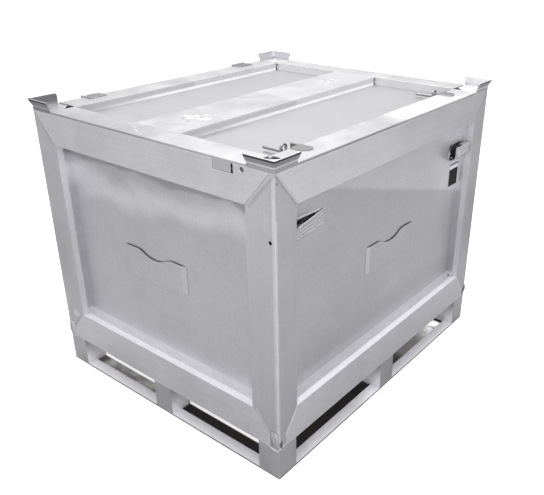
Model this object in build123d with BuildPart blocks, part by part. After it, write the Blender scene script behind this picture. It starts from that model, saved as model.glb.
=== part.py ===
from build123d import *
import os

# Aluminium intermediate bulk container: footed pallet base, framed walls with
# sheet infill, a drop gate, a hinged lid and stacking corners.
# Millimetres. The origin is the centre of the footprint on the floor, +Z is up,
# +X (right) runs along the long side and the gate is in the front (-Y) face.

os.makedirs("parts", exist_ok=True)

# --- overall ---
HALF_X = 1200.0 / 2
HALF_Y = 1030.0 / 2
HALF = {"x": HALF_X, "y": HALF_Y}
FRAME_TOP = 965.0
LID_TOP = 972.0

# --- frame sections ---
WALL = 3.0
LEG = {"x": 85.0, "y": 100.0}  # reach of an L-shaped post from the corner
RECESS = 40.0  # depth of posts and beams, measured in from the outer face
LOW_BEAM_BOTTOM = 110.0
LOW_BEAM_TOP = 225.0
HIGH_BEAM_BOTTOM = 863.0
# height of a beam's mitre at the outer corner and at the end of the post leg
LOW = (LOW_BEAM_BOTTOM, LOW_BEAM_TOP)
HIGH = (FRAME_TOP, HIGH_BEAM_BOTTOM)

# --- infill sheets ---
SHEET = 2.5
LIP = 18.0
FLOOR_Z = 150.0
PANEL_TOP = 935.0
INNER_X = HALF_X - RECESS - SHEET
INNER_Y = HALF_Y - RECESS

# --- gate fittings that meet the posts ---
GATE_Y = -INNER_Y  # outer face of the gate sheet
PIVOT = (-487.0, 234.0)  # y, z of the gate pivot
PIVOT_RADIUS = 5.0
GATE_BOLT_Y = -486.0
GATE_BOLT_Z = 779.0
GATE_BOLT = (GATE_BOLT_Y, GATE_BOLT_Z)
GATE_BOLT_RADIUS = 5.0
GATE_BOLT_HOLE = 6.5
EYE = (-497.0, GATE_BOLT_Z)  # y, z of the hole in the outer side of a front post
EYE_RADIUS = 6.0

# --- lid fittings that meet the side beams ---
LID_BOLT_Y = -408.0
LID_BOLT_Z = 955.0
LID_BOLT = (LID_BOLT_Y, LID_BOLT_Z)
LID_BOLT_RADIUS = 5.0
LID_BOLT_HOLE = LID_BOLT_RADIUS + 2.0
TAB_Y = (-370.0, -305.0)
TAB_BOTTOM = 938.0
TAB_NOTCH_Y = (-378.0, -304.0)

CLEARANCE = 0.05  # radial, between a pin and its bore
CUT = 1.0  # how far a cutting shape runs past what it cuts

# --- directions ---
HANDS = {"left": -1, "right": 1}
CORNERS = {
    "front_left": {"x": -1, "y": -1},
    "rear_left": {"x": -1, "y": 1},
    "front_right": {"x": 1, "y": -1},
    "rear_right": {"x": 1, "y": 1},
}
OTHER = {"x": "y", "y": "x"}
DIRECTION = {"x": (1, 0, 0), "y": (0, 1, 0), "z": (0, 0, 1)}


# ---------------------------------------------------------------------------
# Drawing helpers. block, prism and rod act on the BuildPart that is open.
# ---------------------------------------------------------------------------
def save(name, builder):
    piece = builder.part
    piece.label = name
    export_step(piece, f"parts/{name}.step")


def plane_across(axis, place):
    """Plane square to an axis; its own two axes are the others, in x, y, z order."""
    if axis == "x":
        return Plane.YZ.offset(place)
    if axis == "y":
        return Plane.XZ.offset(-place)
    return Plane.XY.offset(place)


def face_on(plane, outline):
    with BuildSketch(plane) as drawing:
        with BuildLine():
            Polyline(*outline, close=True)
        make_face()
    return drawing.sketch


def block(x, y, z, mode=Mode.ADD):
    """Box filling three spans, each given by its two ends in either order."""
    with Locations(((x[0] + x[1]) / 2, (y[0] + y[1]) / 2, (z[0] + z[1]) / 2)):
        Box(abs(x[1] - x[0]), abs(y[1] - y[0]), abs(z[1] - z[0]), mode=mode)


def prism(axis, outline, start, end, mode=Mode.ADD):
    """Outline carried along an axis between two places, given in either order."""
    face = face_on(plane_across(axis, min(start, end)), outline)
    extrude(face, amount=abs(end - start), dir=DIRECTION[axis], mode=mode)


def rod(axis, centre, radius, start, end, mode=Mode.ADD):
    with BuildSketch(plane_across(axis, min(start, end))) as drawing:
        with Locations(centre):
            Circle(radius)
    extrude(drawing.sketch, amount=abs(end - start), dir=DIRECTION[axis], mode=mode)


def loft_between(first, second, mode=Mode.ADD):
    loft(sections=[first, second], ruled=True, mode=mode)


def inset(axis, side, depth):
    """Coordinate at a depth inward from the outer face on one side."""
    return side * (HALF[axis] - depth)


def plan(run, along, across):
    """Put a pair measured along and across a member into x, y order."""
    return (along, across) if run == "x" else (across, along)


def corner_outline(sides, depths, run="x"):
    """Plan outline from inward depths (along run, across run) at a corner."""
    across = OTHER[run]
    return [
        plan(run, inset(run, sides[run], a), inset(across, sides[across], b))
        for a, b in depths
    ]


# ---------------------------------------------------------------------------
# Beams: rectangular tubes, mitred at both ends in elevation and in plan
# ---------------------------------------------------------------------------
MITRE_PAST = 5.0  # how far the mitre cut runs past the beam


def beam(run, side, level):
    across = OTHER[run]
    bottom, top = sorted(level)
    block(
        *plan(
            run,
            (-HALF[run], HALF[run]),
            (inset(across, side, 0), inset(across, side, RECESS)),
        ),
        z=(bottom, top),
    )
    block(
        *plan(
            run,
            (-HALF[run] - CUT, HALF[run] + CUT),
            (inset(across, side, WALL), inset(across, side, RECESS - WALL)),
        ),
        z=(bottom + WALL, top - WALL),
        mode=Mode.SUBTRACT,
    )
    for end in (-1, 1):
        trim_end(run, {run: end, across: side}, level)


def trim_end(run, sides, level):
    across = OTHER[run]
    outer_z, inner_z = level
    past_z = inner_z + (MITRE_PAST if inner_z > outer_z else -MITRE_PAST)
    leg = LEG[run]
    elevation = (
        (0, outer_z),
        (leg, inner_z),
        (leg, past_z),
        (-MITRE_PAST, past_z),
        (-MITRE_PAST, outer_z),
    )
    prism(
        across,
        [(inset(run, sides[run], depth), z) for depth, z in elevation],
        inset(across, sides[across], -CUT),
        inset(across, sides[across], RECESS + CUT),
        mode=Mode.SUBTRACT,
    )
    depths = (
        (0, 0),
        (RECESS, RECESS),
        (RECESS, RECESS + CUT),
        (-CUT, RECESS + CUT),
        (-CUT, 0),
    )
    prism(
        "z",
        corner_outline(sides, depths, run),
        min(level) - CUT,
        max(level) + CUT,
        mode=Mode.SUBTRACT,
    )


def plain_beam(name, run, side, level):
    with BuildPart() as piece:
        beam(run, side, level)
    save(name, piece)


def top_side_beam(hand, side):
    """Top beam with a notch for the lid's grip tab and a lid bolt hole."""
    with BuildPart() as piece:
        beam("y", side, HIGH)
        block(
            (inset("x", side, -CUT), inset("x", side, WALL + CUT)),
            TAB_NOTCH_Y,
            (TAB_BOTTOM - CUT, FRAME_TOP + CUT),
            mode=Mode.SUBTRACT,
        )
        rod(
            "x", LID_BOLT, LID_BOLT_HOLE,
            inset("x", side, -CUT), inset("x", side, RECESS + CUT),
            mode=Mode.SUBTRACT,
        )
    save(f"top_beam_{hand}", piece)


for face, side in (("front", -1), ("rear", 1)):
    plain_beam(f"bottom_beam_{face}", "x", side, LOW)
    plain_beam(f"top_beam_{face}", "x", side, HIGH)
for hand, side in HANDS.items():
    plain_beam(f"bottom_beam_{hand}", "y", side, LOW)
    top_side_beam(hand, side)


# ---------------------------------------------------------------------------
# Corner posts: hollow L sections, their ends cut away where the beams mitre in
# ---------------------------------------------------------------------------
def beam_wedge(run, sides, level):
    """The part of a post that a mitred beam end takes up."""
    across = OTHER[run]
    outer_z, inner_z = level
    outer = inset(run, sides[run], 0)
    leg_end = inset(run, sides[run], LEG[run])
    with BuildPart() as wedge:
        prism(
            across,
            [(outer, outer_z), (leg_end, outer_z), (leg_end, inner_z)],
            inset(across, sides[across], 0),
            inset(across, sides[across], RECESS),
        )
        prism(
            "z",
            corner_outline(sides, ((0, 0), (0, RECESS), (RECESS, RECESS)), run),
            min(level) - CUT,
            max(level) + CUT,
            mode=Mode.SUBTRACT,
        )
    return wedge.part


def post_outline(sides, shrink):
    leg_x = LEG["x"] - shrink
    leg_y = LEG["y"] - shrink
    inner = RECESS - shrink
    depths = (
        (shrink, shrink),
        (leg_x, shrink),
        (leg_x, inner),
        (inner, inner),
        (inner, leg_y),
        (shrink, leg_y),
    )
    return corner_outline(sides, depths)


def front_post_holes(side):
    leg_end = inset("x", side, LEG["x"] + CUT)
    rod(
        "x", GATE_BOLT, GATE_BOLT_HOLE,
        inset("x", side, LEG["x"] - WALL - CUT), leg_end, mode=Mode.SUBTRACT,
    )
    rod(
        "x", EYE, EYE_RADIUS,
        inset("x", side, -CUT), inset("x", side, WALL + CUT), mode=Mode.SUBTRACT,
    )
    rod("x", PIVOT, PIVOT_RADIUS, inset("x", side, WALL), leg_end, mode=Mode.SUBTRACT)


def corner_post(corner, sides):
    wedges = [beam_wedge(run, sides, level) for run in ("x", "y") for level in (LOW, HIGH)]
    with BuildPart() as piece:
        prism("z", post_outline(sides, 0.0), LOW_BEAM_BOTTOM, FRAME_TOP)
        prism(
            "z", post_outline(sides, WALL), LOW_BEAM_BOTTOM - CUT, FRAME_TOP + CUT,
            mode=Mode.SUBTRACT,
        )
        for wedge in wedges:
            add(wedge, mode=Mode.SUBTRACT)
        if sides["y"] < 0:
            front_post_holes(sides["x"])
    save(f"corner_post_{corner}", piece)


for corner, sides in CORNERS.items():
    corner_post(corner, sides)

# ---------------------------------------------------------------------------
# Feet, open at the top, and the skid plates between them
# ---------------------------------------------------------------------------
FOOT = 80.0
HALF_FOOT = FOOT / 2
FOOT_WALL = 4.0
SKID_THICKNESS = 4.5


def foot(name, x, y):
    inner = HALF_FOOT - FOOT_WALL
    with BuildPart() as piece:
        block(
            (x - HALF_FOOT, x + HALF_FOOT),
            (y - HALF_FOOT, y + HALF_FOOT),
            (0, LOW_BEAM_BOTTOM),
        )
        block(
            (x - inner, x + inner),
            (y - inner, y + inner),
            (FOOT_WALL, LOW_BEAM_BOTTOM + CUT),
            mode=Mode.SUBTRACT,
        )
    save(name, piece)


def skid_plates_long():
    """Plates running along X at the front and rear."""
    with BuildPart() as piece:
        for y in ((-HALF_Y, -HALF_Y + RECESS), (HALF_Y - RECESS, HALF_Y)):
            block((-HALF_X + FOOT, -HALF_FOOT), y, (0, SKID_THICKNESS))
            block((HALF_FOOT, HALF_X - FOOT), y, (0, SKID_THICKNESS))
    save("skid_plates_long", piece)


def skid_plates_short():
    """Plates running along Y at the left, middle and right."""
    with BuildPart() as piece:
        for x in (
            (-HALF_X, -HALF_X + RECESS),
            (-RECESS / 2, RECESS / 2),
            (HALF_X - RECESS, HALF_X),
        ):
            block(x, (-HALF_Y + FOOT, -HALF_FOOT), (0, SKID_THICKNESS))
            block(x, (HALF_FOOT, HALF_Y - FOOT), (0, SKID_THICKNESS))
    save("skid_plates_short", piece)


for corner, sides in CORNERS.items():
    foot(
        f"corner_foot_{corner}",
        inset("x", sides["x"], HALF_FOOT),
        inset("y", sides["y"], HALF_FOOT),
    )
foot("mid_foot_front", 0, -HALF_Y + HALF_FOOT)
foot("mid_foot_rear", 0, HALF_Y - HALF_FOOT)
foot("mid_foot_left", -HALF_X + HALF_FOOT, 0)
foot("mid_foot_right", HALF_X - HALF_FOOT, 0)
foot("centre_foot", 0, 0)
skid_plates_long()
skid_plates_short()

# ---------------------------------------------------------------------------
# Floor: three tubular joists along X under one sheet
# ---------------------------------------------------------------------------
JOIST_PITCH = 240.0
JOIST_HALF_WIDTH = 35.0


def floor_joists():
    end = HALF_X - RECESS
    hollow = JOIST_HALF_WIDTH - WALL
    with BuildPart() as piece:
        for y in (-JOIST_PITCH, 0.0, JOIST_PITCH):
            block(
                (-end, end),
                (y - JOIST_HALF_WIDTH, y + JOIST_HALF_WIDTH),
                (LOW_BEAM_BOTTOM, FLOOR_Z),
            )
            block(
                (-end - CUT, end + CUT),
                (y - hollow, y + hollow),
                (LOW_BEAM_BOTTOM + WALL, FLOOR_Z - WALL),
                mode=Mode.SUBTRACT,
            )
    save("floor_joists", piece)


def floor_sheet():
    with BuildPart() as piece:
        block((-INNER_X, INNER_X), (-INNER_Y, INNER_Y - SHEET), (FLOOR_Z, FLOOR_Z + WALL))
    save("floor_sheet", piece)


floor_joists()
floor_sheet()

# ---------------------------------------------------------------------------
# Fixed infill trays: a sheet behind the frame, with lips lining the opening
# ---------------------------------------------------------------------------
STOP_INNER_X = 500.0
STOP_BOTTOM = 250.0
STOP_THICKNESS = 3.0
STOP_GAP = 0.3  # between the gate sheet and the stop


def side_panel(hand, side):
    sheet_x = side * (HALF_X - RECESS)
    lip_x = (sheet_x, side * (HALF_X - RECESS + LIP))
    lip_y = HALF_Y - LEG["y"]
    with BuildPart() as piece:
        block((side * INNER_X, sheet_x), (-INNER_Y, INNER_Y), (FLOOR_Z, PANEL_TOP))
        block(lip_x, (-lip_y, lip_y), (LOW_BEAM_TOP, HIGH_BEAM_BOTTOM))
        block(
            lip_x,
            (-lip_y + SHEET, lip_y - SHEET),
            (LOW_BEAM_TOP + SHEET, HIGH_BEAM_BOTTOM - SHEET),
            mode=Mode.SUBTRACT,
        )
    save(f"panel_{hand}", piece)


def rear_panel():
    lip_x = HALF_X - LEG["x"]
    with BuildPart() as piece:
        block((-INNER_X, INNER_X), (INNER_Y - SHEET, INNER_Y), (FLOOR_Z, PANEL_TOP))
        block((-lip_x, lip_x), (INNER_Y, INNER_Y + LIP), (LOW_BEAM_TOP, HIGH_BEAM_BOTTOM))
        block(
            (-lip_x + SHEET, lip_x - SHEET),
            (INNER_Y, INNER_Y + LIP + CUT),
            (LOW_BEAM_TOP + SHEET, HIGH_BEAM_BOTTOM - SHEET),
            mode=Mode.SUBTRACT,
        )
    save("panel_rear", piece)


def gate_stops():
    """Upright strips behind the gate edges, packed out to the posts."""
    front = GATE_Y + SHEET + STOP_GAP
    height = (STOP_BOTTOM, PANEL_TOP)
    with BuildPart() as piece:
        for side in (-1, 1):
            edge = side * INNER_X
            block((side * STOP_INNER_X, edge), (front, front + STOP_THICKNESS), height)
            block((side * (HALF_X - LEG["x"]), edge), (GATE_Y, front), height)
    save("gate_stops", piece)


for hand, side in HANDS.items():
    side_panel(hand, side)
rear_panel()
gate_stops()

# ---------------------------------------------------------------------------
# Stacking corners: seat plate and two flared wings mitred at the corner
# ---------------------------------------------------------------------------
SEAT = 90.0
SEAT_CHAMFER = 34.0  # sets the cut across the seat's inner corner
SEAT_TOP = FRAME_TOP + 5.0
WING_BEND_Z = 979.0  # the wing stands upright below this and flares above
WING_TOP = 1002.0
FLARE = 10.0
WING_THICKNESS = 4.0
# wing section: (distance outward from the frame face, z)
WING_SECTION = (
    (0.0, SEAT_TOP),
    (0.0, WING_BEND_Z),
    (FLARE, WING_TOP),
    (FLARE - WING_THICKNESS * 1.09, WING_TOP),
    (-WING_THICKNESS, WING_BEND_Z + WING_THICKNESS * 0.21),
    (-WING_THICKNESS, SEAT_TOP),
)
# what is cut off a wing's free end: (distance along the wing from the corner, z)
WING_END = (
    (SEAT, SEAT_TOP - CUT),
    (SEAT, WING_BEND_Z),
    (SEAT + 2, WING_BEND_Z + 6),
    (SEAT + 4, WING_BEND_Z + 12),
    (SEAT + 4, WING_TOP - 4),
    (SEAT + 2, WING_TOP),
    (SEAT + 2, WING_TOP + CUT),
    (SEAT + 20, WING_TOP + CUT),
    (SEAT + 20, SEAT_TOP - CUT),
)
# 45 degree cut at the corner: inward depths (along the wing, across it)
WING_MITRE = ((-20, -20), (20, 20), (-40, 20), (-40, -20))


def wing(run, sides):
    across = OTHER[run]
    with BuildPart() as strip:
        prism(
            run,
            [(inset(across, sides[across], -out), z) for out, z in WING_SECTION],
            inset(run, sides[run], -FLARE - 5),
            inset(run, sides[run], SEAT + 10),
        )
        prism(
            "z", corner_outline(sides, WING_MITRE, run), SEAT_TOP - CUT, WING_TOP + CUT,
            mode=Mode.SUBTRACT,
        )
        prism(
            across,
            [(inset(run, sides[run], along), z) for along, z in WING_END],
            inset(across, sides[across], 20),
            inset(across, sides[across], -FLARE - 10),
            mode=Mode.SUBTRACT,
        )
    return strip.part


def seat_plate(sides):
    short = SEAT - SEAT_CHAMFER
    depths = ((0, 0), (SEAT, 0), (SEAT, short), (short, SEAT), (0, SEAT))
    with BuildPart() as plate:
        prism("z", corner_outline(sides, depths), FRAME_TOP, SEAT_TOP)
    return plate.part


def stacking_bracket(corner, sides):
    side_wing = wing("y", sides)
    end_wing = wing("x", sides)
    seat = seat_plate(sides)
    with BuildPart() as piece:
        add(side_wing)
        add(end_wing)
        add(seat)
    save(f"stacking_bracket_{corner}", piece)


for corner, sides in CORNERS.items():
    stacking_bracket(corner, sides)

# ---------------------------------------------------------------------------
# Document pockets: shallow and open-topped, with sloping sides and bottom and
# a thumb notch in the upper edge
# ---------------------------------------------------------------------------
POCKET_HALF_WIDTH = 250.0 / 2  # of the outer face
POCKET_SIDE_SLOPE = 21.0
POCKET_BOTTOM_SLOPE = 24.0
POCKET_DEPTH = 4.6
POCKET_SHEET = 1.0
POCKET_BOTTOM = 486.0
POCKET_TOP = 577.0
POCKET_BASE_RIM = (5.0, 5.5)  # rim round the hollow at the base: sides, bottom
POCKET_FACE_RIM = 0.8
LEFT_POCKET_Y = 18.0
GATE_POCKET_X = 31.0
NOTCH_HALF_WIDTH = 152.0 / 2
NOTCH_DEPTH = 20.5
# thumb notch curve: fractions of (half width, depth)
NOTCH_CURVE = (
    (-1, 0), (-0.42 - 0.38, 0.20), (-0.42, 0.80), (0, 1), (0.42, 0.80), (0.80, 0.20), (1, 0),
)


def pocket_section(plane, half_width, bottom, top):
    return face_on(
        plane,
        [(-half_width, bottom), (half_width, bottom), (half_width, top), (-half_width, top)],
    )


def notch_face(plane):
    half = NOTCH_HALF_WIDTH
    above = POCKET_TOP + 3
    with BuildSketch(plane) as drawing:
        with BuildLine():
            Spline(*[(half * a, POCKET_TOP - NOTCH_DEPTH * b) for a, b in NOTCH_CURVE])
            Polyline((half, POCKET_TOP), (half, above), (-half, above), (-half, POCKET_TOP))
        make_face()
    return drawing.sketch


def pocket(name, base):
    """Pocket standing on a plane whose own y is up, bulging along its normal."""
    out = base.z_dir
    face = Plane(origin=base.origin + out * POCKET_DEPTH, x_dir=base.x_dir, z_dir=out)
    face_back = Plane(
        origin=base.origin + out * (POCKET_DEPTH - POCKET_SHEET), x_dir=base.x_dir, z_dir=out
    )
    base_half = POCKET_HALF_WIDTH + POCKET_SIDE_SLOPE
    base_bottom = POCKET_BOTTOM - POCKET_BOTTOM_SLOPE
    side_rim, bottom_rim = POCKET_BASE_RIM
    with BuildPart() as piece:
        loft_between(
            pocket_section(base, base_half, base_bottom, POCKET_TOP),
            pocket_section(face, POCKET_HALF_WIDTH, POCKET_BOTTOM, POCKET_TOP),
        )
        loft_between(
            pocket_section(
                base, base_half - side_rim, base_bottom + bottom_rim, POCKET_TOP + CUT
            ),
            pocket_section(
                face_back,
                POCKET_HALF_WIDTH - POCKET_FACE_RIM,
                POCKET_BOTTOM + POCKET_FACE_RIM,
                POCKET_TOP + CUT,
            ),
            mode=Mode.SUBTRACT,
        )
        extrude(
            notch_face(base), amount=POCKET_DEPTH + 2, dir=(out.X, out.Y, out.Z),
            mode=Mode.SUBTRACT,
        )
    save(name, piece)


pocket(
    "document_pocket_left",
    Plane(origin=(-HALF_X + RECESS, LEFT_POCKET_Y, 0), x_dir=(0, -1, 0), z_dir=(-1, 0, 0)),
)
pocket(
    "document_pocket_gate",
    Plane(origin=(GATE_POCKET_X, GATE_Y, 0), x_dir=(1, 0, 0), z_dir=(0, -1, 0)),
)

# ---------------------------------------------------------------------------
# Gate: tray with outward lips, pivot bushes at the bottom corners
# ---------------------------------------------------------------------------
GATE_HALF_WIDTH = 513.5
GATE_BOTTOM = 228.0
GATE_TOP = 861.0
BUSH_INNER_X = 497.0
BUSH_HEIGHT = 15.0
PIVOT_PIN_X = (498.0, 530.0)


def gate_panel():
    half = GATE_HALF_WIDTH
    lip_y = (GATE_Y - LIP, GATE_Y)
    with BuildPart() as piece:
        block((-half, half), (GATE_Y, GATE_Y + SHEET), (GATE_BOTTOM, GATE_TOP))
        block((-half, half), lip_y, (GATE_BOTTOM, GATE_TOP))
        block(
            (-half + SHEET, half - SHEET),
            (GATE_Y - LIP - CUT, GATE_Y),
            (GATE_BOTTOM + SHEET, GATE_TOP - SHEET),
            mode=Mode.SUBTRACT,
        )
        for side in (-1, 1):
            block(
                (side * BUSH_INNER_X, side * half),
                lip_y,
                (GATE_BOTTOM, GATE_BOTTOM + BUSH_HEIGHT),
            )
            rod(
                "x", PIVOT, PIVOT_RADIUS + CLEARANCE,
                side * (BUSH_INNER_X - CUT), side * (half + CUT), mode=Mode.SUBTRACT,
            )
            rod(
                "x", GATE_BOLT, GATE_BOLT_RADIUS + CLEARANCE,
                side * (half - SHEET - 0.5), side * (half + CUT), mode=Mode.SUBTRACT,
            )
    save("gate_panel", piece)


def gate_pivot_pins():
    inner, outer = PIVOT_PIN_X
    with BuildPart() as piece:
        for side in (-1, 1):
            rod("x", PIVOT, PIVOT_RADIUS, side * inner, side * outer)
    save("gate_pivot_pins", piece)


gate_panel()
gate_pivot_pins()

# ---------------------------------------------------------------------------
# Gate latch covers
# ---------------------------------------------------------------------------
COVER_THICKNESS = 1.6
COVER_OUTER_X = 507.0
COVER_TOP = 789.0

# left: scooped sheet, lying flat at its inner end and along the bottom,
# standing off at the upper outer corner, open at the top and towards the post
SCOOP_INNER_X = 345.0
SCOOP_BOTTOM = 731.0
SCOOP_BASE = 2.4  # thickness where it lies flat on the gate
SCOOP_BULGE = 33.0
HEM_HEIGHT = 4.0
LONG_RIB_X = (388.0, 504.0)
SHORT_RIB_X = (352.0, 378.0)
# z at the inner and the outer end of each long rib
LONG_RIBS = ((771.0, 768.0), (757.0, 752.5), (744.0, 739.0))
SHORT_RIBS = (776.0, 762.0, 748.0)
# rib sections: (y from the surface, z from the rib's middle)
LONG_RIB_START = ((0.6, -2.8), (-2.6, 0), (0.4, 2.8))
LONG_RIB_END = ((1.2, -2.8), (-3.0, 0), (-0.2, 2.8))
SHORT_RIB_START = ((-2.0, -2.4), (-5.2, 0), (-2.0, 2.4))  # from the gate sheet
SHORT_RIB_END = ((0.5, -3.4), (-2.6, -1), (0.3, 1.4))

# right: box-shaped cover with a rolled lower edge, open at its inner end and
# along most of its top
BOX_INNER_X = 403.0
BOX_DEPTH = 34.0
BOX_ROLL_TOP = 760.0  # the face is upright above this
BOX_RETURN_X = 462.0
BOX_RETURN_GAP = 15.0
BOX_END_SLANT = 16.0
BOX_RIBS = (781.0, 771.0, 761.0)
BOX_RIB_X = 418.0
BOX_RIB_STEP = 7.0
BOX_RIB_END_X = 505.0
BOX_RIB_ROOT = 0.6  # how far the ribs sink into the face
BOX_TAIL_DEPTH = 1.9


def scoop_y(x, z):
    """Outer face of the scoop; x is the distance from the container's middle."""
    along = (x - SCOOP_INNER_X) / (COVER_OUTER_X - SCOOP_INNER_X)
    up = (z - SCOOP_BOTTOM) / (COVER_TOP - SCOOP_BOTTOM)
    return GATE_Y - SCOOP_BASE - SCOOP_BULGE * along * up


def scoop_rib_section(x, surface_y, z, section):
    return face_on(plane_across("x", -x), [(surface_y + dy, z + dz) for dy, dz in section])


def gate_latch_cover_left():
    flat_y = GATE_Y - SCOOP_BASE
    lip_y = flat_y - SCOOP_BULGE
    hem_inner = LONG_RIB_X[0]
    with BuildPart() as piece:
        loft_between(
            face_on(
                plane_across("x", -SCOOP_INNER_X),
                [
                    (flat_y, SCOOP_BOTTOM),
                    (flat_y, COVER_TOP),
                    (GATE_Y, COVER_TOP),
                    (GATE_Y, SCOOP_BOTTOM),
                ],
            ),
            face_on(
                plane_across("x", -COVER_OUTER_X),
                [
                    (flat_y, SCOOP_BOTTOM),
                    (lip_y, COVER_TOP),
                    (lip_y + COVER_THICKNESS, COVER_TOP),
                    (GATE_Y, SCOOP_BOTTOM),
                ],
            ),
        )
        # hem along the top edge
        prism(
            "z",
            [
                (-hem_inner, scoop_y(hem_inner, COVER_TOP) + 0.6),
                (-hem_inner - 3, scoop_y(hem_inner + 3, COVER_TOP) - 1.0),
                (-COVER_OUTER_X + 2, scoop_y(COVER_OUTER_X, COVER_TOP) - 1.0),
                (-COVER_OUTER_X, scoop_y(COVER_OUTER_X, COVER_TOP) + 0.6),
            ],
            COVER_TOP - HEM_HEIGHT,
            COVER_TOP,
        )
        start, end = LONG_RIB_X
        for start_z, end_z in LONG_RIBS:
            loft_between(
                scoop_rib_section(start, scoop_y(start, start_z), start_z, LONG_RIB_START),
                scoop_rib_section(end, scoop_y(end, end_z), end_z, LONG_RIB_END),
            )
        start, end = SHORT_RIB_X
        for z in SHORT_RIBS:
            loft_between(
                scoop_rib_section(start, GATE_Y, z, SHORT_RIB_START),
                scoop_rib_section(end, scoop_y(end, z), z, SHORT_RIB_END),
            )
    save("gate_latch_cover_left", piece)


def gate_latch_cover_right():
    depth = BOX_DEPTH
    face_y = GATE_Y - depth
    back_y = face_y + COVER_THICKNESS
    root_y = face_y + BOX_RIB_ROOT
    with BuildPart() as piece:
        with BuildSketch(Plane.YZ.offset(BOX_INNER_X)):
            with BuildLine():
                Spline(
                    (GATE_Y, 733.0),
                    (GATE_Y - depth * 0.42, 736.0),
                    (GATE_Y - depth * 0.80, 745.0),
                    (face_y, BOX_ROLL_TOP),
                    tangents=[(-1, 0.05), (0, 1)],
                )
                Polyline(
                    (face_y, BOX_ROLL_TOP),
                    (face_y, COVER_TOP),
                    (back_y, COVER_TOP),
                    (back_y, BOX_ROLL_TOP),
                )
                Spline(
                    (back_y, BOX_ROLL_TOP),
                    (GATE_Y - depth * 0.80 + COVER_THICKNESS * 0.8, 746.4),
                    (GATE_Y - depth * 0.42 + 0.5, 737.8),
                    (GATE_Y, 735.0),
                    tangents=[(0, -1), (1, -0.05)],
                )
                Line((GATE_Y, 735.0), (GATE_Y, 733.0))
            make_face()
        extrude(amount=COVER_OUTER_X - BOX_INNER_X, dir=(1, 0, 0))
        # return along the top of the outer part
        block(
            (BOX_RETURN_X, COVER_OUTER_X),
            (face_y, GATE_Y - BOX_RETURN_GAP),
            (COVER_TOP - COVER_THICKNESS, COVER_TOP),
        )
        # slanting inner end
        prism(
            "z",
            [
                (BOX_INNER_X - CUT, face_y - CUT),
                (BOX_INNER_X - CUT, GATE_Y + CUT),
                (BOX_INNER_X + BOX_END_SLANT, GATE_Y + CUT),
            ],
            700.0,
            800.0,
            mode=Mode.SUBTRACT,
        )
        # ribs along the face, each with a tail turned down at its inner end
        for k, z in enumerate(BOX_RIBS):
            x = BOX_RIB_X + BOX_RIB_STEP * k
            tail_z = z - 14 + 2 * k
            prism(
                "x",
                [(root_y, z - 2.2), (face_y - 2.0, z), (root_y, z + 2.2)],
                x,
                BOX_RIB_END_X,
            )
            prism(
                "y",
                [(x - 2, tail_z), (x + 2, z + 2), (x + 6, z + 1), (x + 2, tail_z)],
                root_y,
                root_y - BOX_TAIL_DEPTH,
            )
    save("gate_latch_cover_right", piece)


gate_latch_cover_left()
gate_latch_cover_right()

# ---------------------------------------------------------------------------
# Gate slide bolts, their guides and the plates on the gate
# ---------------------------------------------------------------------------
GUIDE_X = (489.0, 507.0)
GUIDE_RADIUS = 7.0
GATE_BOLT_ROD_X = (448.0, GATE_HALF_WIDTH)
# pull bar blocks: x span from the middle, y and z spans from the bolt's axis
GATE_BOLT_BLOCKS = (
    ((414.0, 452.0), (5.2, 9.0), (-8, 7)),  # flat bar on the gate sheet
    ((449.0, 458.0), (-2.0, 8.6), (-4, 4)),  # joint to the rod
    ((414.0, 418.0), (2.5, 9.0), (-8, 7)),  # inner end, turned out
)
PLATE_THICKNESS = 1.0
LABEL_THICKNESS = 0.6


def gate_bolt_guides():
    inner, outer = GUIDE_X
    with BuildPart() as piece:
        for side in (-1, 1):
            block(
                (side * inner, side * outer),
                (GATE_BOLT_Y, GATE_Y),
                (GATE_BOLT_Z - GUIDE_RADIUS, GATE_BOLT_Z + GUIDE_RADIUS),
            )
            rod("x", GATE_BOLT, GUIDE_RADIUS, side * inner, side * outer)
            rod(
                "x", GATE_BOLT, GATE_BOLT_RADIUS + CLEARANCE,
                side * (inner - CUT), side * (outer + CUT), mode=Mode.SUBTRACT,
            )
    save("gate_bolt_guides", piece)


def gate_bolt(hand, side):
    inner, tip = GATE_BOLT_ROD_X
    with BuildPart() as piece:
        rod("x", GATE_BOLT, GATE_BOLT_RADIUS, side * inner, side * tip)
        for x, y, z in GATE_BOLT_BLOCKS:
            block(
                (side * x[0], side * x[1]),
                (GATE_BOLT_Y + y[0], GATE_BOLT_Y + y[1]),
                (GATE_BOLT_Z + z[0], GATE_BOLT_Z + z[1]),
            )
    save(f"gate_bolt_{hand}", piece)


def type_plate():
    """Square plate with a separate narrow strip above it."""
    with BuildPart() as piece:
        block((436, 500), (GATE_Y - PLATE_THICKNESS, GATE_Y), (626, 690))
        block((436, 502), (GATE_Y - PLATE_THICKNESS, GATE_Y), (707.5, 710.5))
    save("type_plate", piece)


def label_strip():
    with BuildPart() as piece:
        block((438, 500), (GATE_Y - LABEL_THICKNESS, GATE_Y), (693, 702))
    save("label_strip", piece)


gate_bolt_guides()
for hand, side in HANDS.items():
    gate_bolt(hand, side)
type_plate()
label_strip()

# ---------------------------------------------------------------------------
# Lid: border sheet, two sunken panels and a beam along X between them
# ---------------------------------------------------------------------------
LID_SHEET = 3.0
LID_UNDER = LID_TOP - LID_SHEET
FRONT_EDGE_BOTTOM = 967.0
EDGE_BOTTOM = 965.2  # of the side and rear edge lips
LID_FLOOR = 943.0
LID_FLOOR_UNDER = LID_FLOOR - SHEET
SUNK_X = 510.0
SUNK_FRONT = (-425.0, -86.0)
SUNK_REAR = (105.0, 415.0)
SLOT_WIDTH = 9.0
LID_NOTCH = 95.0
GASKET_OUTER = 8.0
GASKET_INNER = 24.0
GASKET_BOTTOM = FRAME_TOP + 0.2


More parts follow.
